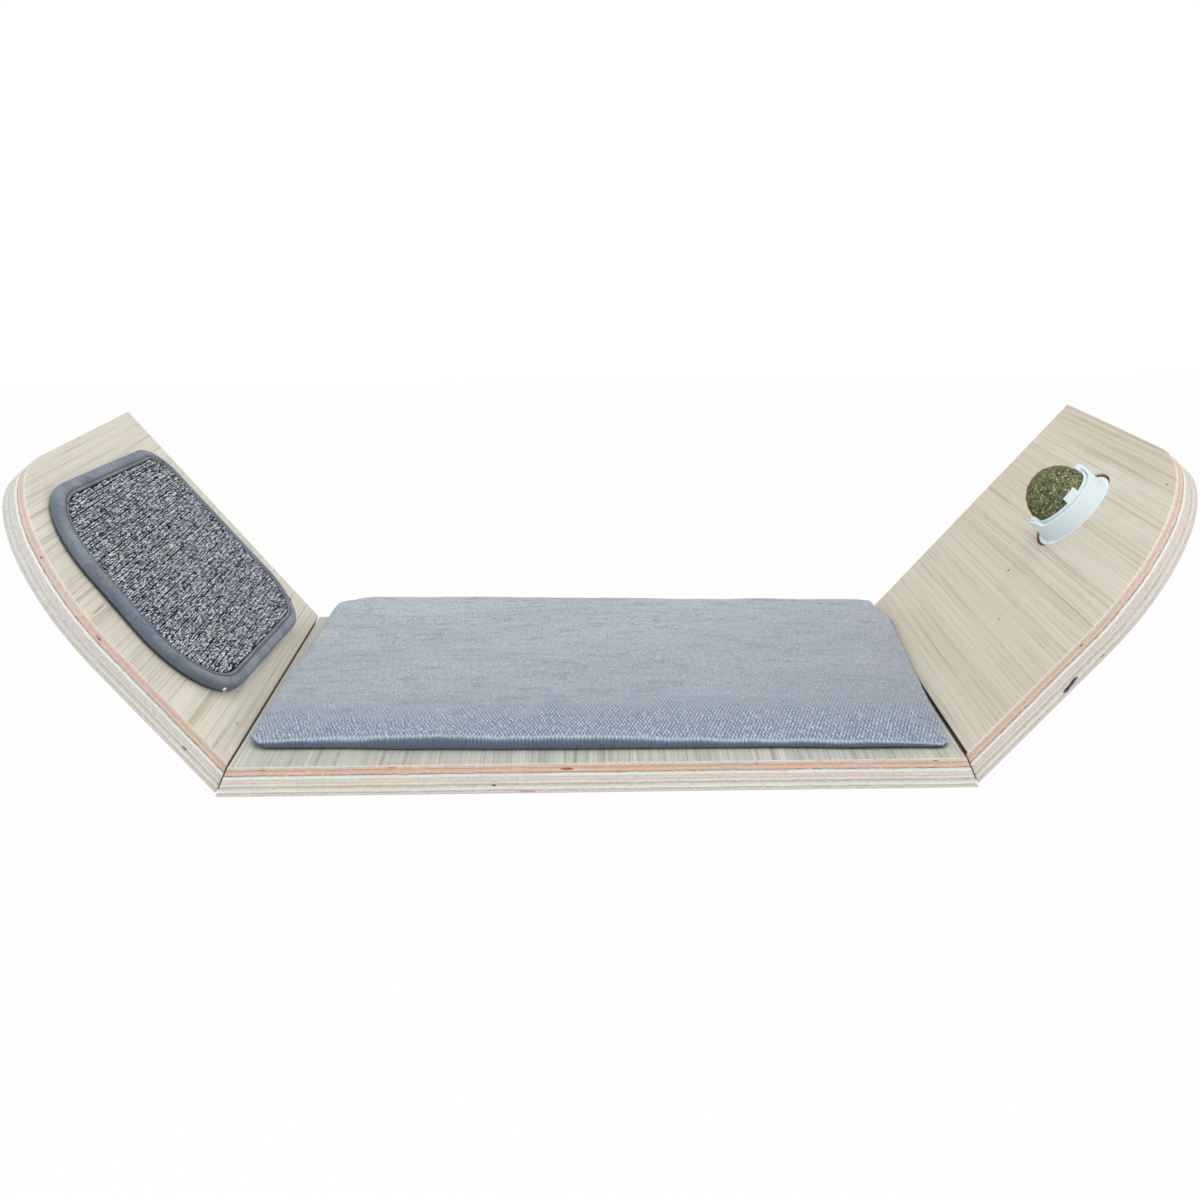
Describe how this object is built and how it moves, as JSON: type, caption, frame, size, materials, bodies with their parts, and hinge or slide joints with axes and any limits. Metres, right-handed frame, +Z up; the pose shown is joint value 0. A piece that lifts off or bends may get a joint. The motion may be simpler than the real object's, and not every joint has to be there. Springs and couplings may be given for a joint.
{
  "type": "cat wall scratcher lounge",
  "caption": "Wall-hung plywood cat bed with two tilted wings, a padded seat, a bound scratch mat and a catnip ball that turns under a flip cover.",
  "frame": {"origin": "middle of the seat board's back edge face, halfway up its thickness, on the wall", "axes": "+X to the right wing, +Y into the wall, +Z up"},
  "size_m": [0.5987, 0.258, 0.2256],
  "materials": {
    "plywood": "bare sanded birch-like veneer",
    "black_steel": "black powder coat",
    "zinc_steel": "zinc plated",
    "grey_cloth": "blue-grey woven cloth",
    "slate_binding": "smooth slate binding tape",
    "woven_mat": "coarse mixed grey loop weave",
    "mat_backing": "felted backing",
    "strip_cloth": "hook and loop tape",
    "milky_plastic": "milky translucent moulding",
    "catnip": "pressed dried leaves",
    "white_foam": "double-sided foam tape"
  },
  "bodies": {
    "frame": {"ball_spindle": "milky_plastic", "catnip_cup": "milky_plastic", "cup_adhesive_pad": "white_foam", "hook_strip_1": "strip_cloth", "hook_strip_2": "strip_cloth", "hook_strip_3": "strip_cloth", "hook_strip_4": "strip_cloth", "left_front_joint_plate": "black_steel", "left_front_joint_screw_1": "zinc_steel", "left_front_joint_screw_2": "zinc_steel", "left_front_joint_screw_3": "zinc_steel", "left_front_joint_screw_4": "zinc_steel", "left_rear_joint_plate": "black_steel", "left_rear_joint_screw_1": "zinc_steel", "left_rear_joint_screw_2": "zinc_steel", "left_rear_joint_screw_3": "zinc_steel", "left_rear_joint_screw_4": "zinc_steel", "left_wall_bracket": "black_steel", "left_wall_bracket_screw_1": "zinc_steel", "left_wall_bracket_screw_2": "zinc_steel", "left_wall_bracket_screw_3": "zinc_steel", "left_wing_board": "plywood", "right_front_joint_plate": "black_steel", "right_front_joint_screw_1": "zinc_steel", "right_front_joint_screw_2": "zinc_steel", "right_front_joint_screw_3": "zinc_steel", "right_front_joint_screw_4": "zinc_steel", "right_rear_joint_plate": "black_steel", "right_rear_joint_screw_1": "zinc_steel", "right_rear_joint_screw_2": "zinc_steel", "right_rear_joint_screw_3": "zinc_steel", "right_rear_joint_screw_4": "zinc_steel", "right_wall_bracket": "black_steel", "right_wall_bracket_screw_1": "zinc_steel", "right_wall_bracket_screw_2": "zinc_steel", "right_wall_bracket_screw_3": "zinc_steel", "right_wing_board": "plywood", "scratch_mat_backing": "mat_backing", "scratch_mat_binding": "slate_binding", "scratch_mat_pile": "woven_mat", "scratch_mat_pin_1": "zinc_steel", "scratch_mat_pin_2": "zinc_steel", "scratch_mat_pin_3": "zinc_steel", "scratch_mat_pin_4": "zinc_steel", "seat_board": "plywood"},
    "ball": {"catnip_ball": "catnip"},
    "cover": {"flip_cover": "milky_plastic"},
    "cushion": {"seat_cushion": "grey_cloth", "loop_strip_1": "strip_cloth", "loop_strip_2": "strip_cloth", "loop_strip_3": "strip_cloth", "loop_strip_4": "strip_cloth"}
  },
  "joints": [
    {"name": "ball_spin", "type": "hinge", "parent": "frame", "child": "ball", "pos_m": [0.24963, -0.12903, 0.10638], "axis": [-0.6545, -0.2079, -0.7269], "continuous": true},
    {"name": "cover_flip", "type": "hinge", "parent": "frame", "child": "cover", "pos_m": [0.24963, -0.12903, 0.10638], "axis": [-0.6545, -0.2079, -0.7269], "range_deg": [0, 180]},
    {"name": "cushion_lift", "type": "slide", "parent": "frame", "child": "cushion", "axis": [0, 0, 1], "range_m": [0, 0.06]}
  ]
}
